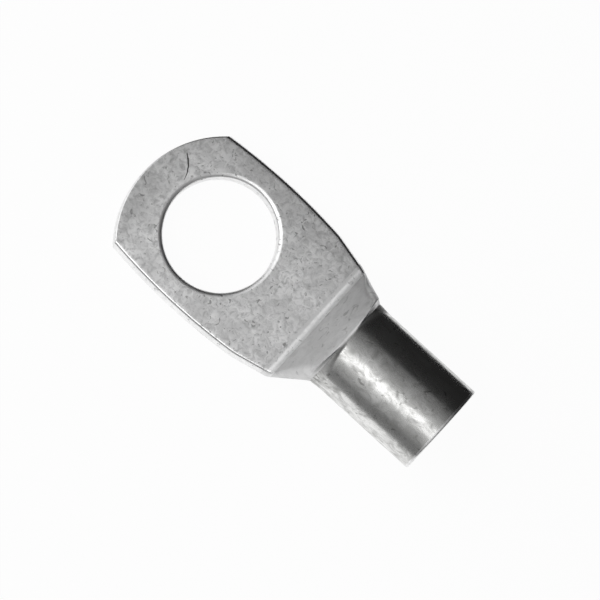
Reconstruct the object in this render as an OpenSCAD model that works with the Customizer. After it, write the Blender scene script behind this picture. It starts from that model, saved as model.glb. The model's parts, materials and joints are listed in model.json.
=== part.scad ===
// Ring terminal: a length of seamless copper tube with one end pressed flat into a palm.
// The palm has a punched stud hole and a trimmed nose. The other end stays a round barrel for the wire.
// Millimetres. +X runs from the stud hole to the open end of the barrel, +Z is up.
// The origin is on the axis of the stud hole, on the flat underside of the palm.

/* [Tube] */
// Outside diameter of the tube
tube_d = 11.4; // [9.5:0.1:14]
// Wall thickness of the tube
tube_wall = 1.5; // [1:0.05:2.2]
// Length of the barrel that stays round, from the crest of the neck to its mouth
barrel_len = 14.5; // [6:0.1:40]
// Height of the barrel's lowest line above the underside of the palm, left by springback
barrel_lift = 0.08; // [0.05:0.01:0.5]
// Bevel on the outer edge of the mouth
mouth_edge = 0.2; // [0.05:0.05:0.4]
// Lead-in chamfer inside the mouth
mouth_lead_in = 0.3; // [0.1:0.05:0.6]

/* [Palm] */
// Thickness that the press takes out of the two walls together
squeeze = 0.3; // [0.05:0.05:0.8]
// Width of the palm at its widest, beside the stud hole
palm_w = 19.3; // [17:0.1:23]
// Distance from the stud hole towards the barrel at which the palm is widest
bow_x = 1.8; // [-3:0.1:5]
// Radius of the bowed sides of the palm, seen from above
bow_r = 78; // [50:1:300]
// Distance by which the folded sides round in from their widest line
fold_roll = 0.55; // [0.3:0.01:1]
// Distance from the stud hole to the line where the sides start to draw in
shoulder_x = 10; // [8:0.1:13]

/* [Nose] */
// Distance from the stud hole to the tip of the nose
nose_len = 11.15; // [9:0.05:14]
// Radius that the nose is trimmed to
nose_r = 12.5; // [10.5:0.1:20]
// Sideways error of the trimming cut, which leaves one corner of the nose longer
nose_shift = 0.62; // [-1:0.02:1]
// Rounding of the top edge that the trimming cut draws down
nose_roll = 0.2; // [0.05:0.01:0.4]

/* [Stud hole] */
// Diameter of the stud hole, which clears an M12 stud
stud_d = 13; // [6:0.1:14.5]
// Width of the rounding that the punch leaves along the top edge
stud_roll = 0.65; // [0.2:0.01:1]
// Depth to which the punch draws that edge down
stud_draw = 0.4; // [0.1:0.01:0.6]

/* [Neck] */
// Distance from the stud hole to the start of the bend
bend_x = 14; // [13.2:0.1:24]
// Inside radius of the bend between the palm and the sloping face
bend_r = 0.95; // [0.5:0.05:2]
// Slope of the pressed face, measured from the palm
neck_angle = 69; // [35:1:80]
// Outside radius where the sloping face turns over into the round barrel
crest_r = 0.6; // [0.3:0.05:2]
// Height of that crest above the barrel
crest_swell = 0.06; // [0.04:0.01:0.15]
// Distance by which each side of the neck stands out past the barrel at the crest
side_swell = 0.1; // [0.06:0.01:0.4]
// Length past the crest over which the neck sinks into the barrel
neck_fade = 1.1; // [0.5:0.1:2.5]
// Width across the folded sides where they turn in, at the middle of the bend
neck_w = 16.4; // [14.5:0.1:17.2]
// Half the length over which that turn is rounded
side_blend = 0.3; // [0.1:0.05:0.8]
// Distance by which the ridge down each side of the sloping face rounds in from the side
ridge_in = 1.75; // [0.8:0.05:3]

/* [Hidden] */

TINNED = [0.74, 0.74, 0.72];
CURVE_FN = 96;
CUT = 1; // how far cutting shapes reach past the metal

tube_r = tube_d / 2;
bore_r = tube_r - tube_wall;
axis_z = tube_r + barrel_lift;
palm_t = 2 * tube_wall - squeeze;

// Side view of the pressed face: bend, straight slope and crest
crest_z = axis_z + tube_r + crest_swell;
foot_x = bend_x + bend_r * sin(neck_angle);
foot_z = palm_t + bend_r * (1 - cos(neck_angle));
brow_z = crest_z - crest_r * (1 - cos(neck_angle));
brow_x = foot_x + (brow_z - foot_z) / tan(neck_angle);
crest_x = brow_x + crest_r * sin(neck_angle);
neck_end_x = crest_x + neck_fade;
mouth_x = crest_x + barrel_len;

// Past the crest the neck sinks under the surface of the barrel: share of the way there
function sunk(x) = max(0, x - crest_x) / neck_fade;

// Height of the outside at x: palm, bend, slope, crest, and down into the barrel
function roof_z(x) =
    x <= bend_x ? palm_t
    : x <= foot_x ? palm_t + bend_r - sqrt(bend_r ^ 2 - (x - bend_x) ^ 2)
    : x <= brow_x ? foot_z + (x - foot_x) * tan(neck_angle)
    : x <= crest_x ? crest_z - crest_r + sqrt(crest_r ^ 2 - (x - crest_x) ^ 2)
    : crest_z - 2 * crest_swell * sunk(x) ^ 2;

// Height of the underside at x: flat, then up into the barrel
function floor_z(x) = 2 * barrel_lift * sunk(x) ^ 2;

// Half width of the bowed palm at x
function bow_y(x) = palm_w / 2 - bow_r + sqrt(bow_r ^ 2 - (x - bow_x) ^ 2);

// Half width across the folded sides at x: bowed, drawn in to the bend, in faster to the crest, and
// on into the barrel
turn_x = (bend_x + foot_x) / 2;
shoulder_draw = (bow_y(shoulder_x) - neck_w / 2) / (turn_x - shoulder_x);
neck_draw = (neck_w / 2 - tube_r - side_swell) / (crest_x - turn_x);
function soft_step(x) = x <= -side_blend ? 0 : x >= side_blend ? x : (x + side_blend) ^ 2 / (4 * side_blend);
function side_y(x) =
    x <= shoulder_x ? bow_y(x)
    : x <= crest_x
        ? bow_y(shoulder_x) - shoulder_draw * (x - shoulder_x)
            - (neck_draw - shoulder_draw) * soft_step(x - turn_x)
    : tube_r + side_swell * (2 * (1 - sunk(x)) ^ 2 - 1);

// Share of the way from the flat palm (0) to the crest (1)
function roundness(x) = max(0, min(1, (x - bend_x) / (crest_x - bend_x)));

// Distance by which the upper corners of a section round in from its side: a tight fold on the palm,
// a ridge down each side of the slope, and past its brow up to the whole half width, as on the barrel
ridge_x = (foot_x + brow_x) / 2;
function ease(t) = let(s = max(0, min(1, t))) s * s * (3 - 2 * s);
function ridge(x, half_w) =
    let(inset = fold_roll + (ridge_in - fold_roll) * ease((x - foot_x) / (ridge_x - foot_x)))
    inset + (half_w - inset) * ease((x - brow_x) / (neck_end_x - brow_x));

// The same for the lower corners, which start to open at the bend
BELLY_POWER = 1.4;
BELLY_SHARE = 0.9;
function belly(x, half_w) =
    fold_roll + (half_w - fold_roll) * (
        x <= crest_x ? BELLY_SHARE * roundness(x) ^ BELLY_POWER
        : 1 - (1 - BELLY_SHARE) * (1 - sunk(x)) ^ 2
    );

// Section of the tube: a flat roof and floor, joined at the sides by quarter ellipses
ARC_STEPS = 10;
function quarter(half_w, reach, rise, last_angle) = [
    for (i = [0:ARC_STEPS])
        let(t = last_angle * i / ARC_STEPS)
        [half_w - reach + reach * cos(t), rise * sin(t)]
];
function section(half_w, floor_z, roof_z, upper_roll, lower_roll, last_angle) =
    let(
        mid_z = (floor_z + roof_z) / 2,
        rise = (roof_z - floor_z) / 2,
        upper = quarter(half_w, upper_roll, rise, last_angle),
        lower = quarter(half_w, lower_roll, rise, last_angle)
    )
    concat(
        [for (p = upper) [p[0], mid_z + p[1]]],
        [for (i = [ARC_STEPS:-1:0]) [-upper[i][0], mid_z + upper[i][1]]],
        [for (i = [1:ARC_STEPS]) [-lower[i][0], mid_z - lower[i][1]]],
        [for (i = [ARC_STEPS:-1:1]) [lower[i][0], mid_z - lower[i][1]]]
    );

// Towards the round end the arcs stop up to half a step short of the top, so that no two points meet
function last_angle(x) = 90 - 45 / ARC_STEPS * roundness(x) ^ 2;

// Places along the tube where sections are drawn, closer together where the side view curves
PALM_STEPS = 16;
SHOULDER_STEPS = 2;
BEND_STEPS = 5;
SLOPE_STEPS = 6;
CREST_STEPS = 6;
FADE_STEPS = 5;
palm_start_x = -nose_len - CUT;
function steps(from, to, count) = [for (i = [0:count - 1]) from + (to - from) * i / count];
outer_stations = concat(
    steps(palm_start_x, shoulder_x, PALM_STEPS),
    steps(shoulder_x, bend_x, SHOULDER_STEPS),
    [for (a = steps(0, neck_angle, BEND_STEPS)) bend_x + bend_r * sin(a)],
    steps(foot_x, brow_x, SLOPE_STEPS),
    [for (a = steps(neck_angle, 0, CREST_STEPS)) crest_x - crest_r * sin(a)],
    steps(crest_x, neck_end_x, FADE_STEPS),
    [neck_end_x]
);

// The cavity behind the slope has one wall of metal round it. It closes to a crack under the bend,
// and it ends in a narrow ledge inside the bore.
CRACK = 0.3;
LEDGE = 0.1;
CAVITY_STEPS = 14;
inner_r = bend_r + tube_wall;
inner_foot_x = bend_x + inner_r * sin(neck_angle);
inner_foot_z = palm_t + bend_r - inner_r * cos(neck_angle);
inner_roof_z = axis_z + bore_r - LEDGE;
inner_floor_z = axis_z - bore_r + LEDGE;
inner_brow_x = inner_foot_x + (inner_roof_z - inner_foot_z) / tan(neck_angle);
crack_x = bend_x + sqrt(inner_r ^ 2 - (palm_t + bend_r - inner_floor_z - CRACK) ^ 2);
bore_start_x = max(inner_brow_x, crest_x);
cavity_stations = concat(steps(crack_x, bore_start_x, CAVITY_STEPS), [bore_start_x, bore_start_x + CUT]);
function ceiling_z(x) =
    x <= inner_foot_x ? palm_t + bend_r - sqrt(inner_r ^ 2 - (x - bend_x) ^ 2)
    : min(inner_foot_z + (x - inner_foot_x) * tan(neck_angle), inner_roof_z);
function cavity_y(x) = max(side_y(x), tube_r) - tube_wall - LEDGE;
function inner_roll(x, outer_roll) = x >= bore_start_x ? cavity_y(x) : max(outer_roll - tube_wall, CRACK / 2);

// Closed skin through rings that have the same number of [y, z] points, one ring at each station
module loft(stations, outlines) {
    count = len(outlines[0]);
    last = len(stations) - 1;
    points = [for (i = [0:last]) for (p = outlines[i]) [stations[i], p[0], p[1]]];
    skin = [
        for (i = [0:last - 1])
            for (j = [0:count - 1])
                let(a = i * count + j, b = i * count + (j + 1) % count)
                each [[a, b + count, b], [a, a + count, b + count]]
    ];
    start = [for (j = [0:count - 1]) j];
    end = [for (j = [count - 1:-1:0]) last * count + j];
    polyhedron(points, concat(skin, [start, end]), convexity = 6);
}

// Round bar along the tube's axis, which may taper
module bar(from, to, r_from, r_to) {
    translate([from, 0, axis_z])
        rotate([0, 90, 0])
            cylinder(r1 = r_from, r2 = r_to, h = to - from, $fn = CURVE_FN);
}

// Profile of the metal that a punch or trimming cut takes off at the top edge of the palm, where it
// draws the edge down. The cut's wall is at x = 0 with the metal on its -X side.
module drawn_edge(width, depth) {
    difference() {
        translate([-width, palm_t - depth])
            square([width + CUT, depth + CUT]);
        translate([-width, palm_t - depth])
            scale([width / depth, 1])
                circle(r = depth, $fn = CURVE_FN);
    }
}

// Pressed end of the tube: palm, bend, slope and the crest where it turns round
module pressed_end() {
    loft(outer_stations, [
        for (x = outer_stations)
            let(half_w = side_y(x))
            section(
                half_w, floor_z(x), roof_z(x),
                ridge(x, half_w), belly(x, half_w), last_angle(x)
            )
    ]);
}

// Round end of the tube, with its bevelled mouth
module barrel() {
    bar(crest_x, mouth_x - mouth_edge, tube_r, tube_r);
    bar(mouth_x - mouth_edge, mouth_x, tube_r, tube_r - mouth_edge);
}

// Inside of the tube: lead-in, bore and cavity
module hollow() {
    bar(bore_start_x, mouth_x + CUT, bore_r, bore_r);
    bar(mouth_x - mouth_lead_in, mouth_x + CUT, bore_r, bore_r + mouth_lead_in + CUT);
    loft(cavity_stations, [
        for (x = cavity_stations)
            let(half_w = cavity_y(x), outer_w = half_w + tube_wall)
            section(
                half_w, inner_floor_z, ceiling_z(x),
                inner_roll(x, ridge(x, outer_w)), inner_roll(x, belly(x, outer_w)), last_angle(x)
            )
    ]);
}

// Punch for the stud hole
module stud_punch() {
    translate([0, 0, -CUT])
        cylinder(d = stud_d, h = palm_t + 2 * CUT, $fn = CURVE_FN);
    rotate_extrude($fn = CURVE_FN)
        translate([stud_d / 2, 0])
            mirror([1, 0])
                drawn_edge(stud_roll, stud_draw);
}

// Die that trims the nose: everything in front of the nose arc
module nose_die() {
    centre_x = nose_r - nose_len;
    translate([centre_x, -nose_shift, 0]) {
        difference() {
            translate([palm_start_x - CUT - centre_x, -palm_w, -CUT])
                cube([centre_x - palm_start_x + CUT, 2 * palm_w, palm_t + 2 * CUT]);
            translate([0, 0, -2 * CUT])
                cylinder(r = nose_r, h = palm_t + 4 * CUT, $fn = CURVE_FN);
        }
        rotate([0, 0, 90])
            rotate_extrude(angle = 180, $fn = CURVE_FN)
                translate([nose_r, 0])
                    drawn_edge(nose_roll, nose_roll);
    }
}

module terminal() {
    color(TINNED)
        difference() {
            union() {
                pressed_end();
                barrel();
            }
            hollow();
            stud_punch();
            nose_die();
        }
}

terminal();
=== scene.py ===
import json
import math

import bmesh
import bpy
from mathutils import Matrix, Vector, noise


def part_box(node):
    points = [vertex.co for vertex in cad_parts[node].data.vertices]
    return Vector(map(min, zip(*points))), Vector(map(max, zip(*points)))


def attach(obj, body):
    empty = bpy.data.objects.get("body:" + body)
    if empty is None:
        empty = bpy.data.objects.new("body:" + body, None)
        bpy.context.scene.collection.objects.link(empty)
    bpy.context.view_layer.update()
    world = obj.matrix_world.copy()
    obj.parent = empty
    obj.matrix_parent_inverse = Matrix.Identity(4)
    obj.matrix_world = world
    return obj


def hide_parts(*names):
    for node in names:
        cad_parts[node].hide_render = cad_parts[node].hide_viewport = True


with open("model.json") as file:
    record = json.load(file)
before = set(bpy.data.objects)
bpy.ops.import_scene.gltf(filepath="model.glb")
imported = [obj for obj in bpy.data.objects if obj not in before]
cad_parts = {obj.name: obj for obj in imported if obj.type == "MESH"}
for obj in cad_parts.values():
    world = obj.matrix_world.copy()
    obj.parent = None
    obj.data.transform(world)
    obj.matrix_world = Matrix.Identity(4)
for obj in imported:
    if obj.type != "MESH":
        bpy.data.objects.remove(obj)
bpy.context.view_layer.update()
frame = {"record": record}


# --- Tin plating -----------------------------------------------------------------------------
# The terminal is plated with tin after it is formed. The coat is thin and dull, and it shows the
# grain of the pressed copper under it as a fine mottling with darker flecks.
MM = 0.001
FLECK_SINK = 0.4


def add_node(tree, kind, place, **values):
    """A shader node with its named inputs set."""
    node = tree.nodes.new(kind)
    node.location = place
    for name, value in values.items():
        node.inputs[name.replace("_", " ")].default_value = value
    return node


def ramp_node(tree, place, stops):
    """A colour ramp of greys, as pairs of place and level."""
    node = tree.nodes.new("ShaderNodeValToRGB")
    node.location = place
    elements = node.color_ramp.elements
    while len(elements) < len(stops):
        elements.new(0.5)
    for element, (position, level) in zip(elements, stops):
        element.position = position
        element.color = (level, level, level, 1)
    return node


def math_node(tree, operation, place, first, second):
    """A math node whose inputs are sockets or numbers."""
    node = tree.nodes.new("ShaderNodeMath")
    node.operation = operation
    node.location = place
    for socket, value in zip(node.inputs, (first, second)):
        if isinstance(value, bpy.types.NodeSocket):
            tree.links.new(value, socket)
        else:
            socket.default_value = value
    return node.outputs[0]


def plating_group():
    """Mottling, flecks and relief of the tin coat, as masks and a height."""
    tree = bpy.data.node_groups.new("tin_plating", "ShaderNodeTree")
    face = tree.interface
    face.new_socket("Vector", in_out="INPUT", socket_type="NodeSocketVector")
    for name, value in (("Grain", 1.0), ("Draw", 1.0)):
        face.new_socket(name, in_out="INPUT", socket_type="NodeSocketFloat").default_value = value
    for name in ("Mottle", "Cloud", "Fleck", "Height"):
        face.new_socket(name, in_out="OUTPUT", socket_type="NodeSocketFloat")
    inputs = tree.nodes.new("NodeGroupInput")
    outputs = tree.nodes.new("NodeGroupOutput")
    outputs.location = (1200, 0)

    stretch = tree.nodes.new("ShaderNodeCombineXYZ")
    stretch.location = (-200, 200)
    tree.links.new(inputs.outputs["Draw"], stretch.inputs["X"])
    stretch.inputs["Y"].default_value = 1
    stretch.inputs["Z"].default_value = 1
    drawn = tree.nodes.new("ShaderNodeVectorMath")
    drawn.operation = "MULTIPLY"
    tree.links.new(inputs.outputs["Vector"], drawn.inputs[0])
    tree.links.new(stretch.outputs[0], drawn.inputs[1])

    def grain(place, scale, detail, rough, distortion):
        node = add_node(
            tree, "ShaderNodeTexNoise", place, Detail=detail, Roughness=rough, Distortion=distortion
        )
        tree.links.new(drawn.outputs[0], node.inputs["Vector"])
        beside = (place[0] - 200, place[1])
        scaled = math_node(tree, "MULTIPLY", beside, inputs.outputs["Grain"], scale)
        tree.links.new(scaled, node.inputs["Scale"])
        return node.outputs[0]

    crystals = grain((300, 300), scale=1500, detail=6.0, rough=0.68, distortion=0.7)
    cloud = grain((300, 0), scale=380, detail=2.0, rough=0.55, distortion=0.3)
    specks = grain((300, -300), scale=1250, detail=2.0, rough=0.5, distortion=1.6)
    mottle = ramp_node(tree, (550, 300), ((0.34, 0.0), (0.57, 1.0)))
    tree.links.new(crystals, mottle.inputs[0])
    patches = ramp_node(tree, (550, 0), ((0.36, 0.0), (0.64, 1.0)))
    tree.links.new(cloud, patches.inputs[0])
    fleck = ramp_node(tree, (550, -300), ((0.3, 1.0), (0.37, 0.0)))
    tree.links.new(specks, fleck.inputs[0])
    pits = math_node(tree, "MULTIPLY", (850, 0), fleck.outputs[0], FLECK_SINK)
    relief = math_node(tree, "SUBTRACT", (850, 200), crystals, pits)
    tree.links.new(mottle.outputs[0], outputs.inputs["Mottle"])
    tree.links.new(patches.outputs[0], outputs.inputs["Cloud"])
    tree.links.new(fleck.outputs[0], outputs.inputs["Fleck"])
    tree.links.new(relief, outputs.inputs["Height"])
    return tree


PLATING = plating_group()


def grey(level, warmth=0.0):
    """A grey whose blue is lowered by its warmth."""
    return (level, level, level - warmth)


def tin(name, pale, dark, fleck, gloss, relief, grain=1.0, draw=1.0):
    """A tinned surface with its greys, its two roughnesses as gloss, and the depth of its relief."""
    material = bpy.data.materials.new(name)
    material.use_nodes = True
    tree = material.node_tree
    shader = tree.nodes["Principled BSDF"]
    shader.inputs["Metallic"].default_value = 1
    place = add_node(tree, "ShaderNodeTexCoord", (-900, 0))
    coat = tree.nodes.new("ShaderNodeGroup")
    coat.node_tree = PLATING
    coat.location = (-700, 0)
    coat.inputs["Grain"].default_value = grain
    coat.inputs["Draw"].default_value = draw
    tree.links.new(place.outputs["Object"], coat.inputs["Vector"])

    def blend(place, factor, first, second):
        node = tree.nodes.new("ShaderNodeMix")
        node.data_type = "RGBA"
        node.location = place
        tree.links.new(factor, node.inputs["Factor"])
        for socket, value in ((node.inputs["A"], first), (node.inputs["B"], second)):
            if isinstance(value, bpy.types.NodeSocket):
                tree.links.new(value, socket)
            else:
                socket.default_value = (*value, 1)
        return node.outputs["Result"]

    clouded = tuple((p + d) / 2 for p, d in zip(pale, dark))
    base = blend((-450, 300), coat.outputs["Cloud"], clouded, pale)
    base = blend((-250, 300), coat.outputs["Mottle"], dark, base)
    base = blend((-100, 300), coat.outputs["Fleck"], base, fleck)
    tree.links.new(base, shader.inputs["Base Color"])
    spread = tree.nodes.new("ShaderNodeMapRange")
    spread.location = (-250, 0)
    spread.inputs["To Min"].default_value = gloss[1]
    spread.inputs["To Max"].default_value = gloss[0]
    tree.links.new(coat.outputs["Mottle"], spread.inputs["Value"])
    tree.links.new(spread.outputs[0], shader.inputs["Roughness"])
    bump = add_node(tree, "ShaderNodeBump", (-250, -250), Strength=1.0, Distance=relief)
    tree.links.new(coat.outputs["Height"], bump.inputs["Height"])
    tree.links.new(bump.outputs[0], shader.inputs["Normal"])
    return material


PRESSED_TIN = tin(
    "pressed_tin", grey(0.99), grey(0.6), grey(0.4), gloss=(0.48, 0.6), relief=0.02 * MM
)
FOLDED_TIN = tin(
    "folded_tin", grey(0.96), grey(0.84), grey(0.5), gloss=(0.24, 0.34), relief=0.003 * MM
)
RUBBED_TIN = tin(
    "rubbed_tin", grey(0.88), grey(0.74), grey(0.5), gloss=(0.42, 0.52), relief=0.006 * MM
)
FORMED_TIN = tin(
    "formed_tin", grey(0.67), grey(0.57), grey(0.4),
    gloss=(0.38, 0.46), relief=0.004 * MM, grain=0.5,
)
DRAWN_TIN = tin(
    "drawn_tin", grey(0.86, 0.01), grey(0.44, 0.01), grey(0.4, 0.01),
    gloss=(0.22, 0.36), relief=0.0015 * MM, grain=0.7, draw=0.6,
)
BORE_TIN = tin(
    "bore_tin", grey(0.62, 0.02), grey(0.45, 0.02), grey(0.2),
    gloss=(0.4, 0.55), relief=0.02 * MM, draw=0.3,
)
SCRATCHED_TIN = tin(
    "scratched_tin", grey(0.2), grey(0.12), grey(0.1), gloss=(0.45, 0.6), relief=0.01 * MM
)
CUT_TIN = tin("cut_tin", grey(0.93), grey(0.8), grey(0.45), gloss=(0.3, 0.42), relief=0.02 * MM)


# --- Terminal --------------------------------------------------------------------------------
# The body is a length of seamless copper tube. It is drawn here as that tube, ring by ring, and each
# ring is pressed to its own section: a flat palm, a sloping face behind it, and the round barrel.
mounts = {mount["name"]: mount for mount in frame["record"]["mounts"]}
low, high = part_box("terminal")
nose_x = low.x
mouth_x = high.x
palm_y = high.y
bore_r = mounts["wire_barrel"]["dims"]["r_mm"] * MM
axis_z = mounts["wire_barrel"]["pos_m"][2]
palm_z = mounts["palm_top"]["pos_m"][2]
stud_r = mounts["stud_hole"]["dims"]["r_mm"] * MM

WALL = 1.5 * MM
MOUTH_EDGE = 0.2 * MM
LEAD_IN = 0.3 * MM
BOW_X = 1.8 * MM
BOW_R = 78 * MM
FOLD_ROLL = 0.55 * MM
SHOULDER_X = 10 * MM
BEND_X = 14 * MM
BEND_R = 0.95 * MM
CREST_R = 0.6 * MM
NECK_ANGLE = math.radians(69)
NECK_W = 16.4 * MM
CREST_FADE = 0.25 * MM
SHOULDER_FADE = 1.5 * MM
SIDE_SWELL = 0.1 * MM
SIDE_BLEND = 0.3 * MM
RIDGE_IN = 1.75 * MM
BELLY_POWER = 1.4
BELLY_SHARE = 0.9
CREST_SHARE = 0.76
CRACK = 0.3 * MM

tube_r = bore_r + WALL
rise_of_bend = BEND_R * (1 - math.cos(NECK_ANGLE))
foot_x = BEND_X + BEND_R * math.sin(NECK_ANGLE)
foot_z = palm_z + rise_of_bend
crest_z = axis_z + tube_r
brow_z = crest_z - CREST_R * (1 - math.cos(NECK_ANGLE))
brow_x = foot_x + (brow_z - foot_z) / math.tan(NECK_ANGLE)
crest_x = brow_x + CREST_R * math.sin(NECK_ANGLE)
barrel_x = crest_x + SHOULDER_FADE


def ease(t):
    """Smooth step from 0 to 1."""
    t = max(0.0, min(1.0, t))
    return t * t * (3 - 2 * t)


def roof(x):
    """Height of the top of the outside at x."""
    if x <= BEND_X:
        return palm_z
    if x <= foot_x:
        return palm_z + BEND_R - math.sqrt(BEND_R**2 - (x - BEND_X) ** 2)
    if x <= brow_x:
        return foot_z + (x - foot_x) * math.tan(NECK_ANGLE)
    return crest_z - CREST_R + math.sqrt(CREST_R**2 - min(0.0, x - crest_x) ** 2)


def bowed_side(x):
    """Half the width of the palm between its bowed sides."""
    return palm_y - BOW_R + math.sqrt(BOW_R**2 - (x - BOW_X) ** 2)


turn_x = (BEND_X + foot_x) / 2
shoulder_draw = (bowed_side(SHOULDER_X) - NECK_W / 2) / (turn_x - SHOULDER_X)
neck_draw = (NECK_W / 2 - tube_r - SIDE_SWELL) / (crest_x - turn_x)


def soft_step(x, half):
    """Zero before x = 0 and x after it, turning over a length of half on each side."""
    if x <= -half:
        return 0
    return x if x >= half else (x + half) ** 2 / (4 * half)


def side(x):
    """Half the width across the folded sides at x."""
    if x <= SHOULDER_X:
        return bowed_side(x)
    drawn = bowed_side(SHOULDER_X) - shoulder_draw * (x - SHOULDER_X)
    return drawn - (neck_draw - shoulder_draw) * soft_step(x - turn_x, SIDE_BLEND)


def roundness(x):
    """Share of the way from the flat palm to the crest."""
    return max(0.0, min(1.0, (x - BEND_X) / (crest_x - BEND_X)))


ridge_x = (foot_x + brow_x) / 2


def ridge(x, half_w):
    """Reach of the upper corners: a fold on the palm, a ridge beside the slope, wide at the crest."""
    inset = FOLD_ROLL + (RIDGE_IN - FOLD_ROLL) * ease((x - foot_x) / (ridge_x - foot_x))
    return inset + (half_w - inset) * CREST_SHARE * ease((x - brow_x) / (crest_x - brow_x))


def belly(x, half_w):
    """Reach of the lower corners, which start to open at the bend."""
    return FOLD_ROLL + (half_w - FOLD_ROLL) * BELLY_SHARE * roundness(x) ** BELLY_POWER


QUARTER = 48
CORNER_POINTS = 14
CORNER_SHARE = CORNER_POINTS / QUARTER
ARC_STEPS = 24


def quarter(x, half_w, reach, rise):
    """Points of a quarter of the section, from the middle of its side to the middle of its flat."""
    arc = []
    for step in range(ARC_STEPS + 1):
        angle = math.pi / 2 * step / ARC_STEPS
        arc.append(Vector((half_w - reach + reach * math.cos(angle), rise * math.sin(angle))))
    run = [0.0]
    for a, b in zip(arc, arc[1:]):
        run.append(run[-1] + (b - a).length)
    whole = run[-1] + half_w - reach
    curved = run[-1] / whole
    even = roundness(x)
    points = []
    for step in range(QUARTER + 1):
        t = step / QUARTER
        if t < CORNER_SHARE:
            packed = t / CORNER_SHARE * curved
        else:
            packed = 1 - (1 - t) / (1 - CORNER_SHARE) * (1 - curved)
        way = (packed + (t - packed) * even) * whole
        if way >= run[-1]:
            points.append(Vector((half_w - reach - (way - run[-1]), rise)))
            continue
        i = next(i for i in range(ARC_STEPS) if run[i + 1] >= way)
        points.append(arc[i].lerp(arc[i + 1], (way - run[i]) / (run[i + 1] - run[i])))
    return points


def section(x, half_w, bottom, top, upper_reach, lower_reach):
    """A closed ring of the pressed tube, whose upper and lower corners reach in from its sides."""
    middle = (bottom + top) / 2
    rise = (top - bottom) / 2
    upper = quarter(x, half_w, upper_reach, rise)
    lower = quarter(x, half_w, lower_reach, rise)
    ring = [(p.x, p.y) for p in upper[:-1]]
    ring += [(-p.x, p.y) for p in upper[:0:-1]]
    ring += [(-p.x, -p.y) for p in lower[:-1]]
    ring += [(p.x, -p.y) for p in lower[:0:-1]]
    return [Vector((x, y, middle + z)) for y, z in ring]


def outside(x):
    """Ring of the outside at x."""
    half_w = side(x)
    return section(x, half_w, 0, roof(x), ridge(x, half_w), belly(x, half_w))


inner_r = BEND_R + WALL
inner_foot_x = BEND_X + inner_r * math.sin(NECK_ANGLE)
inner_foot_z = palm_z + BEND_R - inner_r * math.cos(NECK_ANGLE)
bore_top = axis_z + bore_r
bore_floor = axis_z - bore_r
inner_brow_x = inner_foot_x + (bore_top - inner_foot_z) / math.tan(NECK_ANGLE)
crack_x = BEND_X + math.sqrt(inner_r**2 - (palm_z + BEND_R - bore_floor - CRACK) ** 2)


def ceiling(x):
    """Height of the top of the inside at x."""
    if x <= inner_foot_x:
        return palm_z + BEND_R - math.sqrt(inner_r**2 - (x - BEND_X) ** 2)
    return min(inner_foot_z + (x - inner_foot_x) * math.tan(NECK_ANGLE), bore_top)


def round_ring(x, r):
    """Ring of the round tube at x."""
    return section(x, r, axis_z - r, axis_z + r, r, r)


crest_ring = outside(crest_x)
CREST_HALF = math.radians(12)
SHOULDER_AT = math.radians(60)


def barrel_ring(x):
    """Ring of the outside past the crest, whose points come to lie on the round barrel."""
    spread = ease((x - crest_x) / (mouth_x - crest_x))
    ring = []
    for pressed, drawn in zip(crest_ring, round_ring(x, tube_r)):
        outward = Vector((0, pressed.y, pressed.z - axis_z))
        off_top = (outward.angle(Vector((0, 0, 1))) - CREST_HALF) / (SHOULDER_AT - CREST_HALF)
        fade = CREST_FADE + (SHOULDER_FADE - CREST_FADE) * ease(off_top)
        r = outward.length + (tube_r - outward.length) * ease((x - crest_x) / fade)
        evened = Vector((0, drawn.y, drawn.z - axis_z)).normalized()
        towards = outward.normalized().lerp(evened, spread).normalized()
        ring.append(Vector((x, 0, axis_z)) + towards * r)
    return ring


def inside(x):
    """Ring of the inside: the round bore, then the cavity that closes behind the sloping face."""
    if x >= inner_brow_x:
        return round_ring(x, bore_r)
    half_w = max(side(x) - WALL, bore_r)
    outer_w = half_w + WALL
    upper_reach = max(ridge(x, outer_w) - WALL, CRACK / 2)
    lower_reach = max(belly(x, outer_w) - WALL, CRACK / 2)
    return section(x, half_w, bore_floor, ceiling(x), upper_reach, lower_reach)


def spaced(start, end, count):
    """Even places from start up to, but not including, end."""
    return [start + (end - start) * i / count for i in range(count)]


PRESSED, FOLDED, RUBBED, FORMED, DRAWN, BORED, TRIMMED = range(7)
FOLD_TURN = 0.12
PALM_PAST = 1 * MM
PALM_RINGS = 88
BEND_RINGS = 12
SLOPE_RINGS = 26
CREST_RINGS = 12
SHOULDER_RINGS = 14
BARREL_RINGS = 80
MOUTH_RINGS = 5
BORE_RINGS = 30
CAVITY_RINGS = 24


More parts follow.
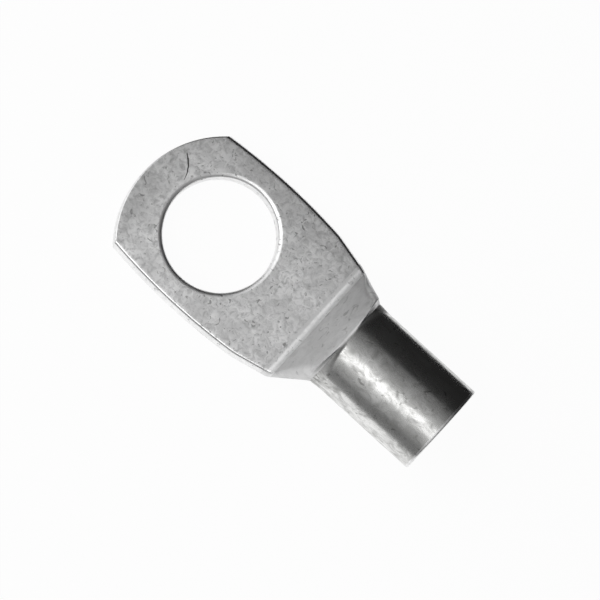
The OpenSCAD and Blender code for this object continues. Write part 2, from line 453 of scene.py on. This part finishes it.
def pressed_tube():
    """The skin as rings, each with the finish before it: the outside, the mouth, then the bore."""
    pressed = [outside(x) for x in spaced(nose_x - PALM_PAST, BEND_X, PALM_RINGS)]
    bends = spaced(0, NECK_ANGLE, BEND_RINGS)
    rubbed = [outside(BEND_X + BEND_R * math.sin(a)) for a in bends]
    formed = [outside(x) for x in spaced(foot_x, brow_x, SLOPE_RINGS)]
    crests = spaced(NECK_ANGLE, 0, CREST_RINGS)
    formed += [outside(crest_x - CREST_R * math.sin(a)) for a in crests]
    drawn = [barrel_ring(x) for x in spaced(crest_x, barrel_x, SHOULDER_RINGS)]
    drawn += [barrel_ring(x) for x in spaced(barrel_x, mouth_x - MOUTH_EDGE, BARREL_RINGS)]
    edge_x = mouth_x - MOUTH_EDGE
    edge_r = tube_r - MOUTH_EDGE
    trimmed = [
        round_ring(edge_x + MOUTH_EDGE * math.sin(a), edge_r + MOUTH_EDGE * math.cos(a))
        for a in spaced(0, math.pi / 2, MOUTH_RINGS)
    ]
    trimmed.append(round_ring(mouth_x, edge_r))
    trimmed.append(round_ring(mouth_x, (edge_r + bore_r + LEAD_IN) / 2))
    trimmed.append(round_ring(mouth_x, bore_r + LEAD_IN))
    trimmed.append(round_ring(mouth_x - LEAD_IN, bore_r))
    bored = [inside(x) for x in spaced(mouth_x - 2 * LEAD_IN, inner_brow_x, BORE_RINGS)]
    bored += [inside(x) for x in spaced(inner_brow_x, crack_x, CAVITY_RINGS)]
    bored.append(inside(crack_x))
    stretches = (
        (pressed, PRESSED),
        (rubbed, RUBBED),
        (formed, FORMED),
        (drawn, DRAWN),
        (trimmed, TRIMMED),
        (bored, BORED),
    )
    return [(ring, finish) for stretch, finish in stretches for ring in stretch]


def skin_of(rings):
    """A closed skin, extruded from ring to ring, that takes the finish named with each ring."""
    skin = bmesh.new()
    loop = bmesh.ops.create_circle(skin, segments=len(rings[0][0]), radius=MM)["verts"]
    edges = skin.edges[:]
    for vert, place in zip(loop, rings[0][0]):
        vert.co = place
    bmesh.ops.holes_fill(skin, edges=edges)
    for ring, finish in rings[1:]:
        made = bmesh.ops.extrude_edge_only(skin, edges=edges)["geom"]
        edges = [part for part in made if isinstance(part, bmesh.types.BMEdge) and part.is_boundary]
        for part in made:
            if isinstance(part, bmesh.types.BMFace):
                part.material_index = finish
        fresh = {vert for edge in edges for vert in edge.verts}
        loop = [
            next(edge.other_vert(v) for edge in v.link_edges if edge.other_vert(v) in fresh)
            for v in loop
        ]
        for vert, place in zip(loop, ring):
            vert.co = place
    bmesh.ops.holes_fill(skin, edges=edges)
    bmesh.ops.recalc_face_normals(skin, faces=skin.faces)
    skin.normal_update()
    return skin


tube = skin_of(pressed_tube())

# The press leaves the surface very slightly uneven, and handling has left a few small dents in it.
WAVE = 4 * MM
WAVE_DEPTH = 0.008 * MM
DENT_REACH = 3
DENTS = (
    (Vector((26.8, -1.2, 11.4)) * MM, 0.2 * MM, 0.03 * MM),
    (Vector((25.3, -4.2, 9.6)) * MM, 0.2 * MM, 0.012 * MM),
    (Vector((17.3, 4.7, 9.6)) * MM, 0.4 * MM, 0.13 * MM),
    (Vector((15.4, -3.3, 4.7)) * MM, 0.22 * MM, 0.05 * MM),
    (Vector((-1.7, 6.8, 2.7)) * MM, 0.3 * MM, 0.03 * MM),
)
for vert in tube.verts:
    sink = WAVE_DEPTH * (0.5 + 0.5 * noise.noise(vert.co / WAVE))
    for middle, radius, depth in DENTS:
        away = (vert.co - middle).length / radius
        sink += depth * math.exp(-(away**2)) if away < DENT_REACH else 0
    if vert.co.x < mouth_x - 2 * MOUTH_EDGE:
        vert.co -= vert.normal * sink
mesh = bpy.data.meshes.new("tinned_tube")
for face in tube.faces:
    face.smooth = True
    if face.material_index == PRESSED and abs(face.normal.y) > FOLD_TURN:
        face.material_index = FOLDED
tube.to_mesh(mesh)
tube.free()
for material in (PRESSED_TIN, FOLDED_TIN, RUBBED_TIN, FORMED_TIN, DRAWN_TIN, BORE_TIN, CUT_TIN):
    mesh.materials.append(material)
terminal = bpy.data.objects.new("tinned_tube", mesh)
bpy.context.scene.collection.objects.link(terminal)


# --- Stud hole and nose ----------------------------------------------------------------------
# A punch makes the stud hole and a die trims the nose. Both draw the top edge down into a soft round
# and leave an upright wall, in which the line where the tube's two walls meet can be seen.
STUD_ROLL = 0.65 * MM
STUD_DRAW = 0.4 * MM
NOSE_ROLL = 0.2 * MM
NOSE_R = 12.5 * MM
NOSE_SHIFT = 0.62 * MM
DRAW_END = math.radians(84)
DRAW_REACH = 0.5 * MM
SEAM_DEPTH = 0.05 * MM
SEAM_HALF = 0.03 * MM
CUT_PAST = 1 * MM
DRAW_STEPS = 12
HOLE_STEPS = 192
NOSE_STEPS = 128
FULL_TURN = 2 * math.pi
MERGE = 0.0001 * MM


def cut_edge(wall_r, roll, draw, into_metal):
    """Radius and height along a cutting edge, from below the palm to above it."""
    seam_z = palm_z / 2
    edge = [
        (wall_r, -CUT_PAST),
        (wall_r, seam_z - SEAM_HALF),
        (wall_r + into_metal * SEAM_DEPTH, seam_z),
        (wall_r, seam_z + SEAM_HALF),
    ]
    for step in range(DRAW_STEPS + 1):
        angle = DRAW_END * step / DRAW_STEPS
        rolled = into_metal * roll * (1 - math.cos(angle))
        edge.append((wall_r + rolled, palm_z - draw + draw * math.sin(angle)))
    last_r, last_z = edge[-1]
    climb = DRAW_REACH * draw / roll / math.tan(DRAW_END)
    edge.append((last_r + into_metal * DRAW_REACH, last_z + climb))
    edge.append((edge[-1][0], palm_z + CUT_PAST))
    return edge


def spun_tool(name, profile, centre, angle, steps):
    """A cutting tool, spun from a closed profile of radius and height."""
    tool = bmesh.new()
    verts = [tool.verts.new((r, 0, z)) for r, z in profile]
    for a, b in zip(verts, verts[1:] + verts[:1]):
        tool.edges.new((a, b))
    full = angle == FULL_TURN
    bmesh.ops.rotate(tool, verts=tool.verts, matrix=Matrix.Rotation(math.pi / 2, 3, "Z"))
    if not full:
        bmesh.ops.contextual_create(tool, geom=tool.edges[:])
    whole = tool.verts[:] + tool.edges[:] + tool.faces[:]
    bmesh.ops.spin(tool, geom=whole, axis=(0, 0, 1), angle=angle, steps=steps, use_merge=full)
    bmesh.ops.remove_doubles(tool, verts=tool.verts, dist=MERGE)
    bmesh.ops.recalc_face_normals(tool, faces=tool.faces)
    bmesh.ops.translate(tool, verts=tool.verts, vec=centre)
    for face in tool.faces:
        face.smooth = True
    data = bpy.data.meshes.new(name)
    tool.to_mesh(data)
    tool.free()
    data.materials.append(CUT_TIN)
    made = bpy.data.objects.new(name, data)
    bpy.context.scene.collection.objects.link(made)
    return made


def cut(body, tool):
    """Cut a tool's shape out of a body for good."""
    modifier = body.modifiers.new(tool.name, "BOOLEAN")
    modifier.operation = "DIFFERENCE"
    modifier.solver = "EXACT"
    modifier.material_mode = "TRANSFER"
    modifier.object = tool
    result = bpy.data.meshes.new_from_object(body.evaluated_get(bpy.context.evaluated_depsgraph_get()))
    body.modifiers.clear()
    body.data = result
    bpy.data.objects.remove(tool)


punch = cut_edge(stud_r, STUD_ROLL, STUD_DRAW, 1) + [(0, palm_z + CUT_PAST), (0, -CUT_PAST)]
cut(terminal, spun_tool("stud_punch", punch, (0, 0, 0), FULL_TURN, HOLE_STEPS))
far_r = NOSE_R + palm_y
die = cut_edge(NOSE_R, NOSE_ROLL, NOSE_ROLL, -1) + [(far_r, palm_z + CUT_PAST), (far_r, -CUT_PAST)]
die_centre = (nose_x + NOSE_R, -NOSE_SHIFT, 0)
cut(terminal, spun_tool("nose_die", die, die_centre, FULL_TURN / 2, NOSE_STEPS))

# A tool or another part has left one curved scratch across the palm, between the hole and the nose.
SCRATCH = ((-8.94, 4.29), (-8.4, 3.85), (-7.82, 3.27), (-7.42, 2.6), (-7.15, 1.8))
SCRATCH_HALF = 0.17 * MM
SCRATCH_DEPTH = 0.12 * MM
SCRATCH_THIN = 0.5
track = [Vector((x * MM, y * MM, palm_z)) for x, y in SCRATCH]
above = Vector((0, 0, SCRATCH_DEPTH))
groove_rings = []
for i, middle in enumerate(track):
    ahead = track[min(i + 1, len(track) - 1)] - track[max(i - 1, 0)]
    width = SCRATCH_THIN + (1 - SCRATCH_THIN) * math.sin(math.pi * (i + 1) / len(track)) ** 2
    across = Vector((-ahead.y, ahead.x, 0)).normalized() * SCRATCH_HALF * width
    corners = (middle + across + above, middle - above * width, middle - across + above)
    groove_rings.append((corners, PRESSED))
groove = skin_of(groove_rings)
groove_mesh = bpy.data.meshes.new("scratch")
groove.to_mesh(groove_mesh)
groove.free()
groove_mesh.materials.append(SCRATCHED_TIN)
scratch = bpy.data.objects.new("scratch", groove_mesh)
bpy.context.scene.collection.objects.link(scratch)
cut(terminal, scratch)
SHARP_FROM = math.radians(40)
terminal.data.set_sharp_from_angle(angle=SHARP_FROM)

# The press has left the barrel matt just behind the crest, further along at its shoulders than on top.
# The palm's colour is darkened along its far side and towards the nose, as painted shade.
MATT_SOFT = 0.4 * MM
MATT_CURVE = -0.04 / MM
MATT_ROUGH = 0.26
# Where and how deeply the palm's colour is darkened as painted shade, along its far side and towards
# the nose.
PAINTED_SHADE_Y = (4.6 * MM, 7.4 * MM)
PAINTED_SHADE_X = (-5.5 * MM, -10.5 * MM)
SIDE_SHADE_DEPTH = 0.13
NOSE_SHADE_DEPTH = 0.24


def part_axes(tree):
    """The place on the part, as separate axes."""
    split = tree.nodes.new("ShaderNodeSeparateXYZ")
    split.location = (-900, -400)
    tree.links.new(tree.nodes["Texture Coordinate"].outputs["Object"], split.inputs[0])
    return split.outputs


def eased(tree, place, start, end, amount):
    """A value that eases from 0 to amount between two places."""
    step = tree.nodes.new("ShaderNodeMapRange")
    step.interpolation_type = "SMOOTHSTEP"
    step.location = (-500, -400)
    for name, value in (("From Min", start), ("From Max", end), ("To Max", amount)):
        step.inputs[name].default_value = value
    tree.links.new(place, step.inputs["Value"])
    return step.outputs[0]


tree = DRAWN_TIN.node_tree
rough = tree.nodes["Principled BSDF"].inputs["Roughness"]
axes = part_axes(tree)
aside = math_node(tree, "ABSOLUTE", (-850, -600), axes["Y"], 0.0)
squared = math_node(tree, "POWER", (-800, -500), aside, 2.0)
bow = math_node(tree, "MULTIPLY", (-700, -500), squared, MATT_CURVE)
bowed = math_node(tree, "ADD", (-600, -500), axes["X"], bow)
matt = eased(tree, bowed, crest_x + MATT_SOFT, crest_x - MATT_SOFT, MATT_ROUGH)
roughened = math_node(tree, "ADD", (-100, -100), rough.links[0].from_socket, matt)
tree.links.new(roughened, rough)

# Painted shade: the palm's base colour is scaled down along its far side and towards the nose, to
# stand in for the shade there.
tree = PRESSED_TIN.node_tree
shine = tree.nodes["Principled BSDF"].inputs["Base Color"]
axes = part_axes(tree)
far_side_shade = eased(tree, axes["Y"], *PAINTED_SHADE_Y, SIDE_SHADE_DEPTH)
nose_end_shade = eased(tree, axes["X"], *PAINTED_SHADE_X, NOSE_SHADE_DEPTH)
painted_palm_shade = math_node(tree, "MAXIMUM", (-300, -400), far_side_shade, nose_end_shade)
unshaded_share = math_node(tree, "SUBTRACT", (-200, -300), 1.0, painted_palm_shade)
shade_scaled_colour = tree.nodes.new("ShaderNodeVectorMath")
shade_scaled_colour.operation = "SCALE"
shade_scaled_colour.location = (0, 100)
tree.links.new(shine.links[0].from_socket, shade_scaled_colour.inputs[0])
tree.links.new(unshaded_share, shade_scaled_colour.inputs["Scale"])
tree.links.new(shade_scaled_colour.outputs[0], shine)

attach(terminal, "root")
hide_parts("terminal")


# --- Studio ----------------------------------------------------------------------------------
# A pale sheet lies under the terminal. One soft lamp hangs over the near side and a wider one beyond
# the nose. The far side of the room is dim, so the round barrel has a bright band and a dark one.
SHEET_HALF = 3
floor_mesh = bpy.data.meshes.new("floor")
sheet = bmesh.new()
bmesh.ops.create_grid(sheet, x_segments=1, y_segments=1, size=SHEET_HALF)
sheet.to_mesh(floor_mesh)
sheet.free()
floor = bpy.data.objects.new("floor", floor_mesh)
bpy.context.scene.collection.objects.link(floor)
paper = bpy.data.materials.new("white_sheet")
paper.use_nodes = True
floor_mesh.materials.append(paper)
tree = paper.node_tree
diffuse = tree.nodes["Principled BSDF"]
diffuse.inputs["Base Color"].default_value = (0.9, 0.9, 0.9, 1)
diffuse.inputs["Roughness"].default_value = 0.9
diffuse.inputs["Specular IOR Level"].default_value = 0.1
glow = tree.nodes.new("ShaderNodeEmission")
glow.inputs["Strength"].default_value = 1
ray = tree.nodes.new("ShaderNodeLightPath").outputs
seen = math_node(tree, "MAXIMUM", (-400, 300), ray["Is Camera Ray"], ray["Is Glossy Ray"])
seen = math_node(tree, "MAXIMUM", (-200, 300), seen, ray["Is Transmission Ray"])
PLAIN_WHITE = 0.96
share = math_node(tree, "MULTIPLY", (0, 300), seen, PLAIN_WHITE)
mix = tree.nodes.new("ShaderNodeMixShader")
tree.links.new(share, mix.inputs[0])
tree.links.new(diffuse.outputs[0], mix.inputs[1])
tree.links.new(glow.outputs[0], mix.inputs[2])
tree.links.new(mix.outputs[0], tree.nodes["Material Output"].inputs["Surface"])

world = bpy.data.worlds.new("room")
bpy.context.scene.world = world
world.use_nodes = True
sky = world.node_tree
around = sky.nodes.new("ShaderNodeTexCoord")
towards = sky.nodes.new("ShaderNodeVectorMath")
towards.operation = "DOT_PRODUCT"
sky.links.new(around.outputs["Generated"], towards.inputs[0])
GLOW_TILT = math.radians(27)
towards.inputs[1].default_value = (0, -math.sin(GLOW_TILT), math.cos(GLOW_TILT))
halved = math_node(sky, "MULTIPLY_ADD", (0, 0), towards.outputs["Value"], 0.5)
halved.node.inputs[2].default_value = 0.5
GLOW = (
    (0.0, 0.035), (0.5, 0.035), (0.67, 0.09), (0.8, 0.18),
    (0.867, 0.24), (0.921, 0.36), (0.961, 0.5), (1.0, 0.55),
)
glow_round = ramp_node(sky, (200, 0), GLOW)
sky.links.new(halved, glow_round.inputs[0])
split = sky.nodes.new("ShaderNodeSeparateXYZ")
sky.links.new(around.outputs["Generated"], split.inputs[0])
lowered = math_node(sky, "MULTIPLY_ADD", (0, -300), split.outputs["Y"], -0.5)
lowered.node.inputs[2].default_value = 0.5
near_wall = ramp_node(sky, (200, -300), ((0.5, 0.0), (0.75, 0.02), (0.94, 0.08), (1.0, 0.1)))
sky.links.new(lowered, near_wall.inputs[0])
room = math_node(sky, "ADD", (500, 0), glow_round.outputs[0], near_wall.outputs[0])
sky.links.new(room, sky.nodes["Background"].inputs["Color"])


# Two cards stand beside the terminal, one on each side, only to be reflected. The dark one draws a
# dark line down the barrel's far side, and the grey one calms the white sheet on the near side.
def card(name, level, length, height, place):
    """An upright card of an even brightness that only reflections see."""
    sheet = bmesh.new()
    bmesh.ops.create_grid(sheet, x_segments=1, y_segments=1, size=0.5)
    bmesh.ops.scale(sheet, verts=sheet.verts, vec=(length, height, 1))
    bmesh.ops.rotate(sheet, verts=sheet.verts, matrix=Matrix.Rotation(math.pi / 2, 3, "X"))
    bmesh.ops.translate(sheet, verts=sheet.verts, vec=(place[0], place[1], height / 2))
    data = bpy.data.meshes.new(name)
    sheet.to_mesh(data)
    sheet.free()
    made = bpy.data.objects.new(name, data)
    bpy.context.scene.collection.objects.link(made)
    made.visible_camera = False
    made.visible_diffuse = False
    made.visible_shadow = False
    felt = bpy.data.materials.new(name)
    felt.use_nodes = True
    even = felt.node_tree.nodes.new("ShaderNodeEmission")
    even.inputs["Color"].default_value = (level, level, level, 1)
    surface = felt.node_tree.nodes["Material Output"].inputs["Surface"]
    felt.node_tree.links.new(even.outputs[0], surface)
    data.materials.append(felt)


card("dark_card", level=0.02, length=0.2, height=0.026, place=(0.04, 0.013))
card("grey_card", level=0.2, length=0.2, height=0.02, place=(0.04, -0.034))


def soft_lamp(name, target, away, turn, size, strength):
    """A soft lamp of a given brightness that faces its target, turned down from overhead."""
    data = bpy.data.lights.new(name, "AREA")
    data.shape = "RECTANGLE"
    data.size, data.size_y = size
    data.energy = strength * math.pi * size[0] * size[1]
    made = bpy.data.objects.new(name, data)
    made.matrix_world = Matrix.Translation(target) @ turn @ Matrix.Translation((0, 0, away))
    made.visible_camera = False
    bpy.context.scene.collection.objects.link(made)


NOSE_TILT = math.radians(-50)
over_near = Matrix.Rotation(GLOW_TILT, 4, "X")
over_nose = Matrix.Rotation(NOSE_TILT, 4, "Y")
soft_lamp("near_lamp", (-0.055, 0, axis_z), 0.2, over_near, size=(0.2, 0.09), strength=1.12)
soft_lamp("nose_lamp", (0.014, -0.12, palm_z), 0.25, over_nose, size=(0.4, 0.44), strength=0.84)

# The camera looks almost straight down with a long lens, from a little on the near side, turned so
# that the barrel points down to the right.
VIEW_ELEVATION = 81.6
VIEW_TILT = math.radians(90 - VIEW_ELEVATION)
VIEW_ROLL = math.radians(42.32)
VIEW_WIDTH = 67.06 * MM
SENSOR = 36
LENS = 800
VIEW_CENTRE = Vector((11.5 * MM, 0.13 * MM, axis_z))
camera_data = bpy.data.cameras.new("camera")
camera_data.sensor_width = SENSOR
camera_data.lens = LENS
camera_data.clip_start = 0.01
away = VIEW_WIDTH / 2 / math.tan(camera_data.angle / 2)
camera = bpy.data.objects.new("camera", camera_data)
bpy.context.scene.collection.objects.link(camera)
camera.matrix_world = (
    Matrix.Translation(VIEW_CENTRE)
    @ Matrix.Rotation(VIEW_TILT, 4, "X")
    @ Matrix.Rotation(VIEW_ROLL, 4, "Z")
    @ Matrix.Translation((0, 0, away))
)
bpy.context.scene.camera = camera
bpy.context.scene.view_settings.view_transform = "Standard"
